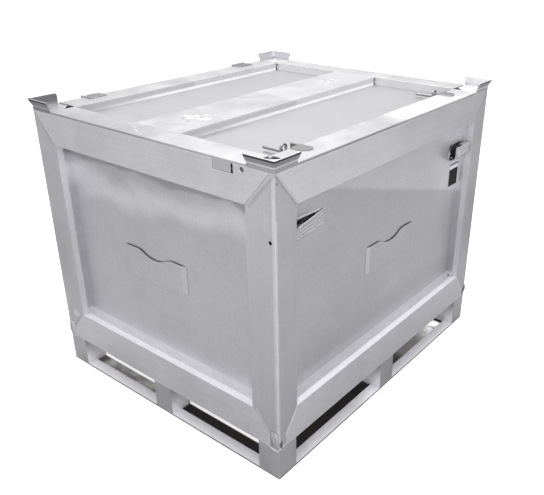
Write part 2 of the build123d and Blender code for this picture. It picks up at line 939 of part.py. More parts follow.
def cut_corners(size, z):
    """Cut the four corners square for the stacking seats."""
    for sides in CORNERS.values():
        block(
            (inset("x", sides["x"], size), inset("x", sides["x"], -CUT)),
            (inset("y", sides["y"], size), inset("y", sides["y"], -CUT)),
            z,
            mode=Mode.SUBTRACT,
        )


def lid_frame():
    front, rear = SUNK_FRONT[0], SUNK_REAR[1]
    wall_z = (LID_FLOOR_UNDER, LID_UNDER)
    edge_z = (EDGE_BOTTOM, LID_UNDER)
    full_x = (-HALF_X, HALF_X)
    full_y = (-HALF_Y, HALF_Y)
    sunk_x = (-SUNK_X, SUNK_X)
    with BuildPart() as piece:
        block(full_x, full_y, (LID_UNDER, LID_TOP))
        # edge lips
        block(full_x, (-HALF_Y, -HALF_Y + LID_SHEET), (FRONT_EDGE_BOTTOM, LID_UNDER))
        block(full_x, (HALF_Y - LID_SHEET, HALF_Y), edge_z)
        block((-HALF_X, -HALF_X + LID_SHEET), full_y, edge_z)
        block((HALF_X - LID_SHEET, HALF_X), full_y, edge_z)
        cut_corners(LID_NOTCH, (EDGE_BOTTOM - CUT, LID_TOP + CUT))
        # opening for the sunken panels and the middle beam
        block(sunk_x, (front, rear), (LID_UNDER - CUT, LID_TOP + CUT), mode=Mode.SUBTRACT)
        # walls hanging round the opening
        for side in (-1, 1):
            block(
                (side * SUNK_X, side * (SUNK_X + LID_SHEET)),
                (front - LID_SHEET, rear + LID_SHEET),
                wall_z,
            )
        block(sunk_x, (front - LID_SHEET, front), wall_z)
        block(sunk_x, (rear, rear + LID_SHEET), wall_z)
        # slot through the rear wall at its right end
        block(
            (SUNK_X - SLOT_WIDTH, SUNK_X),
            (rear - CUT, rear + LID_SHEET + CUT),
            (LID_FLOOR, LID_UNDER),
            mode=Mode.SUBTRACT,
        )
        # bolt clearance through both side walls
        rod("x", LID_BOLT, LID_BOLT_HOLE, -SUNK_X - 5, SUNK_X + 5, mode=Mode.SUBTRACT)
        # grip tabs hanging into the notches of the side beams
        for side in (-1, 1):
            block(
                (inset("x", side, WALL), inset("x", side, 0)),
                TAB_Y,
                (TAB_BOTTOM, LID_UNDER),
            )
    save("lid_frame", piece)


def lid_centre_beam():
    """Channel section, open downwards, between the two sunken panels."""
    front, rear = SUNK_FRONT[1], SUNK_REAR[0]
    with BuildPart() as piece:
        block((-SUNK_X, SUNK_X), (front, rear), (LID_FLOOR_UNDER, LID_TOP))
        block(
            (-SUNK_X - CUT, SUNK_X + CUT),
            (front + LID_SHEET, rear - LID_SHEET),
            (LID_FLOOR_UNDER - CUT, LID_UNDER),
            mode=Mode.SUBTRACT,
        )
        # slot through the front wall at its right end
        block(
            (SUNK_X - SLOT_WIDTH, SUNK_X),
            (front - CUT, front + LID_SHEET + CUT),
            (LID_FLOOR, LID_UNDER),
            mode=Mode.SUBTRACT,
        )
    save("lid_centre_beam", piece)


def lid_panel(name, y):
    with BuildPart() as piece:
        block((-SUNK_X, SUNK_X), y, (LID_FLOOR_UNDER, LID_FLOOR))
    save(name, piece)


def lid_gasket():
    """Sealing strips under the border, just clear of the beam tops."""
    outer_x, outer_y = HALF_X - GASKET_OUTER, HALF_Y - GASKET_OUTER
    inner_x, inner_y = HALF_X - GASKET_INNER, HALF_Y - GASKET_INNER
    cut_z = (FRAME_TOP, LID_UNDER + CUT)
    with BuildPart() as piece:
        block((-outer_x, outer_x), (-outer_y, outer_y), (GASKET_BOTTOM, LID_UNDER))
        block((-inner_x, inner_x), (-inner_y, inner_y), cut_z, mode=Mode.SUBTRACT)
        cut_corners(LID_NOTCH + 2, cut_z)
    save("lid_gasket", piece)


lid_frame()
lid_centre_beam()
lid_panel("lid_panel_front", SUNK_FRONT)
lid_panel("lid_panel_rear", SUNK_REAR)
lid_gasket()

# ---------------------------------------------------------------------------
# Lid hinges at the rear edge
# ---------------------------------------------------------------------------
HINGE_Y = 521.5
HINGE_AXIS = (HINGE_Y, LID_TOP)
KNUCKLE_RADIUS = 6.0
HINGE_PIN_RADIUS = 3.0
HINGE_X = 375.0
HINGE_HALF_WIDTH = 70.0 / 2
KNUCKLE_LENGTH = 20.0  # of each of the lid leaf's two knuckles
KNUCKLE_GAP = 0.5
LEAF = 3.0
FRAME_LEAF_Z = (FRAME_TOP - 45, FRAME_TOP - 5)


def lid_hinge_leaves():
    inner = HINGE_HALF_WIDTH - KNUCKLE_LENGTH
    leaf_z = (LID_TOP, LID_TOP + LEAF)
    with BuildPart() as piece:
        for x in (-HINGE_X, HINGE_X):
            for start, end in ((-HINGE_HALF_WIDTH, -inner), (inner, HINGE_HALF_WIDTH)):
                rod("x", HINGE_AXIS, KNUCKLE_RADIUS, x + start, x + end)
                block((x + start, x + end), (HALF_Y - 20, HINGE_Y), leaf_z)
            block(
                (x - HINGE_HALF_WIDTH, x + HINGE_HALF_WIDTH),
                (HALF_Y - 42, HALF_Y - 8),
                leaf_z,
            )
        rod(
            "x", HINGE_AXIS, HINGE_PIN_RADIUS + CLEARANCE, -HALF_X, HALF_X,
            mode=Mode.SUBTRACT,
        )
    save("lid_hinge_leaves", piece)


def frame_hinge_leaves():
    half_knuckle = HINGE_HALF_WIDTH - KNUCKLE_LENGTH - KNUCKLE_GAP
    leaf_y = (HALF_Y, HALF_Y + LEAF)
    with BuildPart() as piece:
        for x in (-HINGE_X, HINGE_X):
            start, end = x - half_knuckle, x + half_knuckle
            rod("x", HINGE_AXIS, KNUCKLE_RADIUS, start, end)
            block((start, end), leaf_y, (FRAME_LEAF_Z[1], LID_TOP))
            block((x - HINGE_HALF_WIDTH, x + HINGE_HALF_WIDTH), leaf_y, FRAME_LEAF_Z)
        rod("x", HINGE_AXIS, HINGE_PIN_RADIUS, -HALF_X, HALF_X, mode=Mode.SUBTRACT)
    save("frame_hinge_leaves", piece)


def lid_hinge_pins():
    half_pin = HINGE_HALF_WIDTH + 1
    with BuildPart() as piece:
        for x in (-HINGE_X, HINGE_X):
            rod("x", HINGE_AXIS, HINGE_PIN_RADIUS, x - half_pin, x + half_pin)
    save("lid_hinge_pins", piece)


lid_hinge_leaves()
frame_hinge_leaves()
lid_hinge_pins()

# ---------------------------------------------------------------------------
# Lid slide bolts over the front sunken panel
# ---------------------------------------------------------------------------
LID_BOLT_X = (414.0, 553.0)
BARREL_INNER_X = 462.0
BARREL_RADIUS = 10.0
BARREL_HALF_BLOCK = 9.0
BARREL_BORE_X = (460.0, 520.0)
BARREL_FOOT_X = (466.0, 500.0)
BARREL_FOOT_Y = (LID_BOLT_Y - 15, LID_BOLT_Y + 17)
BARREL_FOOT_THICKNESS = 3.0
HANDLE_X = 420.0
HANDLE_RADIUS = 5.0
HANDLE_END_Y = -322.0
RING_Y = (-396.0, -391.0)
RING_RADIUS = 14.0
RING_Z = LID_BOLT_Z + 9.0
RING_HOLE_RADIUS = 7.0
RING_HOLE_Z = LID_BOLT_Z + 11.0
RING_HUB_Y = (-400.0, -386.0)
STOP_PLATE_TOP = LID_TOP + 3.0
# plan of the stop plate on the border: (distance from the middle, y)
STOP_PLATE = ((388, -425), (430, -425), (430, -462), (418, -474), (400, -478), (388, -470))
# gusset reaching back over the sunken panel: (y, z)
GUSSET = (
    (-425, LID_TOP - 1), (-425, STOP_PLATE_TOP), (-398, STOP_PLATE_TOP), (-398, LID_TOP - 14),
)
GUSSET_X = (392, 397)


def lid_bolt_barrel(hand, side):
    barrel = (side * BARREL_INNER_X, side * SUNK_X)
    with BuildPart() as piece:
        rod("x", LID_BOLT, BARREL_RADIUS, *barrel)
        block(
            barrel,
            (LID_BOLT_Y - BARREL_HALF_BLOCK, LID_BOLT_Y + BARREL_HALF_BLOCK),
            (LID_FLOOR, LID_BOLT_Z),
        )
        block(
            (side * BARREL_FOOT_X[0], side * BARREL_FOOT_X[1]),
            BARREL_FOOT_Y,
            (LID_FLOOR, LID_FLOOR + BARREL_FOOT_THICKNESS),
        )
        rod(
            "x", LID_BOLT, LID_BOLT_RADIUS + CLEARANCE,
            side * BARREL_BORE_X[0], side * BARREL_BORE_X[1], mode=Mode.SUBTRACT,
        )
    save(f"lid_bolt_barrel_{hand}", piece)


def lid_bolt(hand, side):
    x = side * HANDLE_X
    with BuildPart() as piece:
        rod("x", LID_BOLT, LID_BOLT_RADIUS, side * LID_BOLT_X[0], side * LID_BOLT_X[1])
        # handle rod lying along Y above the panel
        rod("y", (x, LID_BOLT_Z), HANDLE_RADIUS, LID_BOLT_Y, HANDLE_END_Y)
        # upright finger ring, its hole refilled where the handle passes
        rod("y", (x, RING_Z), RING_RADIUS, *RING_Y)
        rod(
            "y", (x, RING_HOLE_Z), RING_HOLE_RADIUS, RING_Y[0] - CUT, RING_Y[1] + CUT,
            mode=Mode.SUBTRACT,
        )
        rod("y", (x, LID_BOLT_Z), HANDLE_RADIUS, *RING_HUB_Y)
    save(f"lid_bolt_{hand}", piece)


def lid_bolt_stop(hand, side):
    with BuildPart() as piece:
        prism("z", [(side * x, y) for x, y in STOP_PLATE], LID_TOP, STOP_PLATE_TOP)
        prism("x", GUSSET, side * GUSSET_X[0], side * GUSSET_X[1])
    save(f"lid_bolt_stop_{hand}", piece)


for hand, side in HANDS.items():
    lid_bolt_barrel(hand, side)
    lid_bolt(hand, side)
    lid_bolt_stop(hand, side)
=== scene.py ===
"""Looks, weld details and studio for a lidded sheet-metal container.

The container stands on z = 0, centred on x = y = 0. Its length runs along X and the gate
closes the front (-Y); left is -X, right is +X and rear is +Y. Lengths are in metres.
"""

import bpy
import math
from functools import cached_property, reduce
from mathutils import Matrix, Vector, noise


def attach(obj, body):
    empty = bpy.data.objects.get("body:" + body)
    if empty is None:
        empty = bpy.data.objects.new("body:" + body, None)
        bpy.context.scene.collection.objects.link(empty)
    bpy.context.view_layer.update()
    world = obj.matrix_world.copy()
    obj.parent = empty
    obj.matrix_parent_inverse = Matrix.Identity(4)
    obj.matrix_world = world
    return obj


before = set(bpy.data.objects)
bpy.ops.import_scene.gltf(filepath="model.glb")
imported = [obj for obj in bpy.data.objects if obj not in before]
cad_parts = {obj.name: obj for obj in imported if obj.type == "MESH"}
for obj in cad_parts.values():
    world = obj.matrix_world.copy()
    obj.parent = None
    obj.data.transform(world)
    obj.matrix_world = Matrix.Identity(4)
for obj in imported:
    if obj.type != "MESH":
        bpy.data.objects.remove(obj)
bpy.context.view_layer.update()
scene = bpy.context.scene
scene.view_settings.view_transform = "Standard"
scene.view_settings.look = "None"

HALF_LENGTH = 0.600
HALF_WIDTH = 0.515
SKIN = 0.0015              # depth of the band counted as the outer skin of the frame
LEFT_SKIN = -(HALF_LENGTH - SKIN)
FRONT_SKIN = -(HALF_WIDTH - SKIN)
SHEET_FOOT = 0.2460        # top of the strip along the lower edge of the wall sheets
GATE_FACE = -0.4738        # the outside of the gate sheet lies in front of this y
LID_TOP = 0.9705           # lid faces below this height are dulled
BRACKET_X = 0.45           # stacking brackets lie beyond this distance from the middle

# ---------------------------------------------------------------------------
# shader node helpers
# ---------------------------------------------------------------------------
NOISE_SPAN = (0.3, 0.7)    # range that noise values mostly fill
WIDE_SPAN = (0.25, 0.75)


class Nodes:
    """Builds the node tree of a material or world."""

    def __init__(self, owner):
        owner.use_nodes = True
        self.tree = owner.node_tree
        self.tree.nodes.clear()
        self.offset = (0, 0, 0)    # shift of every noise pattern
        self.middle = None         # middle-sized noise, which makes the seams waver

    def node(self, kind, inputs=None, **settings):
        made = self.tree.nodes.new(kind)
        for key, value in settings.items():
            setattr(made, key, value)
        for key, value in (inputs or {}).items():
            if isinstance(value, bpy.types.NodeSocket):
                self.tree.links.new(value, made.inputs[key])
            else:
                made.inputs[key].default_value = value
        return made

    def math(self, operation, *values):
        return self.node("ShaderNodeMath", dict(enumerate(values)), operation=operation).outputs[0]

    def times(self, *factors):
        return reduce(lambda a, b: self.math("MULTIPLY", a, b), factors)

    def invert(self, mask):
        return self.math("SUBTRACT", 1.0, mask)

    def mix(self, factor, a, b, blend="MIX"):
        inputs = {"Factor": factor, 6: a, 7: b}
        made = self.node("ShaderNodeMix", inputs, data_type="RGBA", blend_type=blend)
        return made.outputs[2]

    def remap(self, value, span, result, **settings):
        inputs = dict(enumerate((value, *span, *result)))
        return self.node("ShaderNodeMapRange", inputs, **settings).outputs[0]

    def step(self, value, low, high):
        return self.remap(value, (low, high), (0.0, 1.0), interpolation_type="SMOOTHSTEP")

    def around_one(self, pattern, amount, span=NOISE_SPAN):
        return self.remap(pattern, span, (1.0 - amount, 1.0 + amount))

    def scaled(self, value, mask, gain):
        """The value, multiplied by gain where the mask is 1."""
        return self.times(value, self.remap(mask, (0.0, 1.0), (1.0, gain)))

    @cached_property
    def object_coord(self):
        return self.node("ShaderNodeTexCoord").outputs["Object"]

    def coord(self, scale=(1, 1, 1), offset=(0, 0, 0)):
        inputs = {"Scale": scale, "Location": offset, "Vector": self.object_coord}
        return self.node("ShaderNodeMapping", inputs).outputs[0]

    def split(self, vector):
        return self.node("ShaderNodeSeparateXYZ", {0: vector}).outputs

    @cached_property
    def xyz(self):
        return self.split(self.coord())

    def noise(self, scale, detail=4.0, rough=0.55, distortion=0.0, stretch=(1, 1, 1)):
        inputs = {"Vector": self.coord(stretch, self.offset), "Scale": scale,
                  "Detail": detail, "Roughness": rough, "Distortion": distortion}
        return self.node("ShaderNodeTexNoise", inputs).outputs[0]

    def zone(self, soft, wobble=None, **limits):
        """1 inside limits such as X=(low, high), else 0; AX and AY limit |x| and |y|."""
        sides = []
        for axis, (low, high) in limits.items():
            place = self.xyz["XYZ".index(axis[-1])]
            if axis[0] == "A":
                place = self.math("ABSOLUTE", place)
            if wobble is not None:
                place = self.math("ADD", place, wobble)
            if low is not None:
                sides.append(self.step(place, low - soft, low + soft))
            if high is not None:
                sides.append(self.invert(self.step(place, high - soft, high + soft)))
        return self.times(*sides)

    @cached_property
    def seam_wobble(self):
        return self.remap(self.middle, NOISE_SPAN, (-0.004, 0.004))

    def seam(self, plane, start, end, width, soft):
        """1 along a wavering line from start to end in a plane such as "XZ"."""
        wobble = self.times(self.seam_wobble, 0.35)
        across, upward = (self.xyz["XYZ".index(axis)] for axis in plane)
        dx, dy = end[0] - start[0], end[1] - start[1]
        length = math.hypot(dx, dy)
        normal_x, normal_y = -dy / length, dx / length
        gap = self.math("ADD", self.times(across, normal_x), self.times(upward, normal_y))
        gap = self.math("SUBTRACT", gap, start[0] * normal_x + start[1] * normal_y)
        gap = self.math("ABSOLUTE", self.math("ADD", gap, wobble))
        run = self.math("ADD", self.times(across, dx / length), self.times(upward, dy / length))
        run = self.math("SUBTRACT", run, (start[0] * dx + start[1] * dy) / length)
        return self.times(self.invert(self.step(gap, width - soft, width + soft)),
                          self.step(run, -soft, soft),
                          self.invert(self.step(run, length - soft, length + soft)))

    def outward(self):
        """1 on faces that look away from the middle of the container."""
        facing = self.split(self.node("ShaderNodeNewGeometry").outputs["True Normal"])
        away_x = self.times(self.math("SIGN", self.xyz[0]), facing[0])
        away_y = self.times(self.math("SIGN", self.xyz[1]), facing[1])
        return self.step(self.math("MAXIMUM", away_x, away_y), 0.25, 0.45)

    def grey(self, value):
        return self.node("ShaderNodeCombineColor", dict.fromkeys(range(3), value)).outputs[0]

    def bump(self, height, strength, distance, **normal):
        inputs = {"Strength": strength, "Distance": distance, "Height": height, **normal}
        return self.node("ShaderNodeBump", inputs).outputs[0]

    def surface(self, **inputs):
        """Principled shader wired to the output; underscores stand for spaces."""
        inputs = {key.replace("_", " "): value for key, value in inputs.items()}
        shader = self.node("ShaderNodeBsdfPrincipled", inputs)
        self.node("ShaderNodeOutputMaterial", {0: shader.outputs[0]})


# Masks: each returns a function that builds the mask in a given node tree.
def box(soft, **limits):
    return lambda m: m.zone(soft, **limits)


def outer_box(soft, **limits):
    return lambda m: m.times(m.zone(soft, **limits), m.outward())


def wavy_box(soft, scale, amount, **limits):
    def build(m):
        pattern = m.noise(scale, detail=3.0, rough=0.5, distortion=1.0)
        return m.zone(soft, m.remap(pattern, NOISE_SPAN, (-amount, amount)), **limits)
    return build


def line(**seam):
    return lambda m: m.seam(**seam)


def both(first, second):
    return lambda m: m.times(first(m), second(m))


def lines(plane, rows):
    """Marks from rows of start, end, half width, softness, gain."""
    return [(line(plane=plane, start=start, end=end, width=width, soft=soft), gain)
            for start, end, width, soft, gain in rows]


# Noise scale along each axis; low along the brushing direction.
BRUSH = {
    "x": (3.0, 420.0, 420.0),
    "y": (420.0, 3.0, 420.0),
    "z": (420.0, 420.0, 3.0),
    "none": (60.0, 60.0, 60.0),
}
LEAN_AMOUNT = 0.72         # share of the flat direction in a leaning normal


def metal(name, base, rough=0.36, brush="x", brush_amt=0.05, bump=0.12, mottle=0.05, edge=0.0,
          tint=(0.988, 0.981, 1.026), metallic=1.0, seed=0.0, edge_radius=0.003, fade=None,
          inner_gain=None, inner_metallic=None, marks=(), up_gain=None, matte=(),
          grain=0.035, spots=None, lean=None):
    """Brushed, mottled metal.

    base      brightness          edge      painted highlight added on rounded edges
    fade      axis, span, gains at its ends: a painted light ramp
    inner_*   painted light: brightness gain and metallic value behind the outer skin of the frame
    marks     (mask, brightness gain) pairs: weld tones, painted light and painted shade; matte: (mask, metallic value) pairs
    up_gain   painted light: gain on faces that look up
    spots     scale and amount    lean      direction the normals are drawn to
    """
    material = bpy.data.materials.new(name)
    m = Nodes(material)
    m.offset = (seed * 1.7, seed * 2.3, seed * 0.9)
    cloud = m.noise(2.2, detail=3.0, rough=0.5, distortion=0.3)
    m.middle = m.noise(11.0, detail=5.0, rough=0.6, distortion=0.6)
    fine = m.noise(1.0, detail=3.0, rough=0.6, stretch=BRUSH[brush])
    coarse = m.noise(1.0, detail=2.0, rough=0.5, stretch=tuple(x * 0.22 for x in BRUSH[brush]))
    value = m.times(m.around_one(cloud, mottle),
                    m.around_one(m.middle, mottle * 0.6),
                    m.around_one(fine, brush_amt, WIDE_SPAN),
                    m.around_one(coarse, brush_amt * 0.6, WIDE_SPAN))
    # painted light ramp along one axis
    if fade:
        axis, span, gains = fade
        place = m.split(m.coord())["XYZ".index(axis)]
        value = m.times(value, m.remap(place, span, gains))
    value = m.times(value, m.around_one(m.noise(130.0, detail=2.0, rough=0.5), grain))
    if spots:
        scale, amount = spots
        pattern = m.noise(scale, detail=4.0, rough=0.6, distortion=1.2)
        gains = (1.0 - amount, 1.0 + amount * 0.45)
        value = m.times(value, m.remap(pattern, (0.36, 0.62), gains))
    if inner_gain:
        # painted light: returns, lips and insides, just behind the skin in both x and y, are
        # brightened
        beyond_x = m.step(m.math("ABSOLUTE", m.xyz[0]), 0.5982, 0.5990)
        beyond_y = m.step(m.math("ABSOLUTE", m.xyz[1]), 0.5132, 0.5140)
        inside = m.times(m.invert(beyond_x), m.invert(beyond_y))
        value = m.scaled(value, inside, inner_gain)
        metallic = m.remap(inside, (0.0, 1.0), (metallic, inner_metallic))
    # painted light on faces that look up
    if up_gain:
        facing = m.split(m.node("ShaderNodeNewGeometry").outputs["Normal"])
        value = m.scaled(value, m.step(facing[2], 0.5, 0.9), up_gain)
    for mask, gain in marks:
        value = m.scaled(value, mask(m), gain)
    for mask, dulled in matte:
        covered = mask(m)
        metallic = m.math("ADD", m.times(m.invert(covered), metallic), m.times(covered, dulled))
    rounded = m.node("ShaderNodeBevel", {"Radius": edge_radius}, samples=4).outputs[0]
    # painted highlight on rounded edges
    if edge:
        facing = m.node("ShaderNodeNewGeometry").outputs["Normal"]
        alike = m.node("ShaderNodeVectorMath", {0: rounded, 1: facing}, operation="DOT_PRODUCT")
        shine = m.remap(alike.outputs["Value"], (0.99, 0.85), (0.0, edge))
        value = m.math("ADD", value, shine)
    colour = m.mix(1.0, m.grey(m.times(value, base)), (*tint, 1.0), "MULTIPLY")
    roughness = m.math("ADD", m.remap(m.middle, NOISE_SPAN, (rough - 0.05, rough + 0.06)),
                       m.remap(fine, NOISE_SPAN, (-0.03, 0.03)))
    height = m.math("ADD", fine, m.times(m.middle, 0.8))
    normal = m.bump(height, strength=bump, distance=0.0006, Normal=rounded)
    if lean:
        # thin sheet bulging so little that it shades almost like its base
        normal = m.node("ShaderNodeVectorMath", {0: normal, "Scale": 1.0 - LEAN_AMOUNT},
                        operation="SCALE").outputs[0]
        pull = tuple(x * LEAN_AMOUNT for x in lean)
        normal = m.node("ShaderNodeVectorMath", {0: normal, 1: pull}, operation="ADD").outputs[0]
        normal = m.node("ShaderNodeVectorMath", {0: normal}, operation="NORMALIZE").outputs[0]
    m.surface(Base_Color=colour, Metallic=metallic, Roughness=roughness, Normal=normal)
    return material


def plastic(name, colour, rough):
    material = bpy.data.materials.new(name)
    m = Nodes(material)
    grain = m.noise(90.0)
    cloud = m.noise(9.0, detail=3.0)
    value = m.times(m.around_one(grain, 0.06), m.around_one(cloud, 0.06))
    m.surface(Base_Color=m.mix(1.0, (*colour, 1.0), m.grey(value), "MULTIPLY"),
              Roughness=m.remap(cloud, NOISE_SPAN, (rough - 0.06, rough + 0.06)),
              Normal=m.bump(grain, strength=0.05, distance=0.0004))
    return material


# ---------------------------------------------------------------------------
# materials
# ---------------------------------------------------------------------------
# bands along the mitred corners: start, end, half width, softness, gain
FRONT_SEAMS = lines("XZ", (
    ((-0.598, 0.965), (-0.511, 0.862), 0.0060, 0.0040, 0.86),
    ((-0.600, 0.965), (-0.513, 0.862), 0.0014, 0.0008, 0.62),
    ((0.600, 0.965), (0.513, 0.862), 0.0050, 0.0030, 0.86),
    ((-0.600, 0.112), (-0.513, 0.225), 0.0045, 0.0030, 1.20),
    ((0.600, 0.112), (0.513, 0.225), 0.0045, 0.0030, 1.12),
))
SIDE_SEAMS = lines("YZ", (
    ((-0.513, 0.965), (-0.426, 0.862), 0.0060, 0.0040, 0.86),
    ((-0.500, 0.965), (-0.412, 0.862), 0.0016, 0.0010, 0.72),
    ((0.515, 0.965), (0.428, 0.862), 0.0050, 0.0030, 0.84),
    ((-0.515, 0.112), (-0.428, 0.225), 0.0045, 0.0030, 1.20),
    ((0.515, 0.112), (0.428, 0.225), 0.0045, 0.0030, 0.85),
))
# blotches low on the left skin and low on the front skin
LEFT_BLOTCHES = [
    (wavy_box(soft=0.005, scale=26.0, amount=0.008,
              X=(None, LEFT_SKIN), Y=(None, -0.483), Z=(0.112, 0.176)), 1.34),
    (wavy_box(soft=0.004, scale=30.0, amount=0.005,
              X=(None, LEFT_SKIN), Y=(None, -0.503), Z=(0.128, 0.150)), 0.72),
    (wavy_box(soft=0.005, scale=26.0, amount=0.008,
              X=(None, LEFT_SKIN), Y=(0.430, 0.470), Z=(0.200, 0.226)), 1.25),
]
FRONT_BLOTCHES = [
    (wavy_box(soft=0.004, scale=28.0, amount=0.006,
              Y=(None, FRONT_SKIN), X=(None, -0.580), Z=(0.112, 0.158)), 1.25),
    (wavy_box(soft=0.004, scale=28.0, amount=0.006,
              Y=(None, FRONT_SKIN), X=(-0.588, -0.570), Z=(0.120, 0.150)), 0.70),
]
# painted highlights along the vertical edges of the posts and painted shade patches on them
POST_MARKS = [
    (box(soft=0.0015, X=(None, -0.5965), Y=(None, -0.505)), 1.22),
    (box(soft=0.0015, X=(None, -0.5905), Y=(None, FRONT_SKIN), Z=(None, 0.843)), 1.22),
    *LEFT_BLOTCHES, *FRONT_BLOTCHES,
    (box(soft=0.08, X=(0.50, None), Y=(None, FRONT_SKIN), Z=(0.33, 0.62)), 0.62),
    (box(soft=0.08, X=(None, LEFT_SKIN), Y=(0.42, None), Z=(0.33, 0.60)), 0.74),
]
# frame metals: painted highlights on the rounded edges, painted light ramps along x and up the
# posts, and painted light on the returns and insides; the low beams take darker copies of the same
# metal, painted shade
FRAME = dict(rough=0.42, brush_amt=0.03, bump=0.10, edge=0.40, edge_radius=0.0022)
FRONT = metal("frame_front", base=0.88, fade=("X", (-0.6, 0.6), (1.08, 0.88)),
              inner_gain=1.25, inner_metallic=0.25, marks=FRONT_SEAMS, **FRAME)
FRONT_LOW = metal("frame_front_low", base=0.78, fade=("X", (-0.6, 0.6), (1.06, 0.94)),
                  inner_gain=1.34, inner_metallic=0.12, seed=1.5,
                  marks=FRONT_SEAMS + FRONT_BLOTCHES, **FRAME)
SIDE = metal("frame_side", base=0.84, brush="y", seed=2.0,
             inner_gain=1.25, inner_metallic=0.25, marks=SIDE_SEAMS, **FRAME)
SIDE_LOW = metal("frame_side_low", base=0.74, brush="y", seed=2.5,
                 inner_gain=1.16, inner_metallic=0.15,
                 marks=SIDE_SEAMS + LEFT_BLOTCHES, **FRAME)
POST = metal("frame_post", base=0.65, brush="z", seed=4.0, inner_gain=1.15, inner_metallic=0.30,
             fade=("Z", (0.1, 0.9), (0.92, 1.08)),
             marks=FRONT_SEAMS + SIDE_SEAMS + POST_MARKS, **FRAME)

BEHIND_SKIN = box(soft=0.0005, AX=(None, -LEFT_SKIN), AY=(None, -FRONT_SKIN))
# feet: darker along the bottom edge of the outer faces and a lighter line at the top; behind the
# skin, painted light from inner_gain, painted shade high up and a painted reflection band low down
FOOT = metal("base_foot", base=0.60, brush="z", brush_amt=0.03, mottle=0.09, edge=0.10,
             seed=6.0, inner_gain=1.55, inner_metallic=0.45, marks=[
                 (outer_box(soft=0.001, Z=(None, 0.0045)), 0.55),
                 (outer_box(soft=0.001, Z=(0.1075, 0.1100)), 1.25),
                 (both(BEHIND_SKIN, box(soft=0.026, Z=(0.078, None))), 0.58),
                 (both(BEHIND_SKIN, box(soft=0.012, Z=(0.018, 0.046))), 1.16)])
# skid plates: painted light brightens their tops and insides, and a painted highlight patch lies on
# the front ones; the outer faces keep the dark base
SKID = metal("skid_plate", base=0.20, rough=0.40, brush_amt=0.03, bump=0.08, seed=8.0,
             metallic=0.55, inner_gain=4.9, inner_metallic=0.10, marks=[
                 (wavy_box(soft=0.05, scale=14.0, amount=0.03,
                           X=(-0.14, -0.045), Y=(None, -0.40)), 1.25)])

# side and rear sheets, gate sheet, and the document pockets on them
SHEET_STRIP = box(soft=0.0015, Z=(None, SHEET_FOOT))
SHEET = dict(brush_amt=0.015, bump=0.04, grain=0.05)
PANEL_SHEET = dict(base=0.62, brush="z", metallic=0.85, seed=1.0, **SHEET)
GATE_SHEET = dict(base=0.60, metallic=0.80, seed=3.0, **SHEET)
PANEL = metal("panel_sheet_side", **PANEL_SHEET, matte=[(SHEET_STRIP, 0.25)], marks=[
    # painted reflection bands: lighter from 0.72 to 0.795 m up, darker from 0.812 to 0.90 m
    (wavy_box(soft=0.035, scale=1.8, amount=0.05, Z=(0.72, 0.795)), 1.30),
    (wavy_box(soft=0.008, scale=2.2, amount=0.03, Z=(0.812, 0.90)), 0.70),
    (SHEET_STRIP, 1.10)])
GATE = metal("gate_sheet", edge=0.06, **GATE_SHEET, marks=[
    # painted reflection: broad lighter band above a slanting line, outer face only
    (both(line(plane="XZ", start=(-0.268, 0.982), end=(0.595, 0.724), width=0.150, soft=0.010),
          box(soft=0.0006, Y=(None, GATE_FACE))), 1.25),
    (box(soft=0.05, Z=(None, 0.33)), 0.90),
    # painted shade: near-black patches on the outer face under the two latch covers
    (box(soft=0.0006, X=(0.4195, 0.507), Z=(0.735, 0.788), Y=(-0.478, GATE_FACE)), 0.05),
    (box(soft=0.0006, X=(-0.507, -0.385), Z=(0.735, 0.7895), Y=(-0.478, GATE_FACE)), 0.12),
    (SHEET_STRIP, 1.22),
], matte=[
    (box(soft=0.08, X=(0.34, None), Z=(0.60, 0.90)), 0.42),
    (box(soft=0.06, X=(None, -0.34), Z=(0.72, 0.90)), 0.50),
    (SHEET_STRIP, 0.25)])
PANEL_POCKET = metal("pocket_sheet_side", lean=(-1.0, 0.0, 0.0), **PANEL_SHEET, marks=[
    # painted light on a band at the pocket's right side, painted shade beyond its edge
    (box(soft=0.0015, Y=(-0.1255, -0.108), Z=(0.484, None)), 1.08),
    (box(soft=0.0006, Y=(None, -0.1262), Z=(0.478, None)), 0.45)])
GATE_POCKET = metal("pocket_sheet_gate", lean=(0.0, -1.0, 0.0), **GATE_SHEET, marks=[
    # painted light on a band at the pocket's left side, painted shade beyond its edge
    (box(soft=0.0015, X=(-0.1125, -0.095), Z=(0.484, None)), 1.22),
    (box(soft=0.0006, X=(None, -0.1132), Z=(0.478, None)), 0.45)])

# lid: a painted highlight band low on the recess walls and a painted shade band above it, below its
# top; then painted light, with a matte finish, on the inner corners of the border, which lie in
# shade
LID_BANDS = [
    (both(box(soft=0.0025, Z=(0.9400, 0.9525), X=(None, 0.508)),
          box(soft=0.22, X=(-0.26, None))), 1.70),
    (box(soft=0.010, Z=(0.9540, 0.9700), X=(-0.508, 0.02)), 0.80),
]
LID_CORNERS = box(soft=0.0004, AX=(0.5042, None), AY=(0.4190, None), Z=(None, LID_TOP))
LID_SHEET = dict(brush_amt=0.03, bump=0.08, edge=0.04, tint=(1.0, 0.995, 1.012))
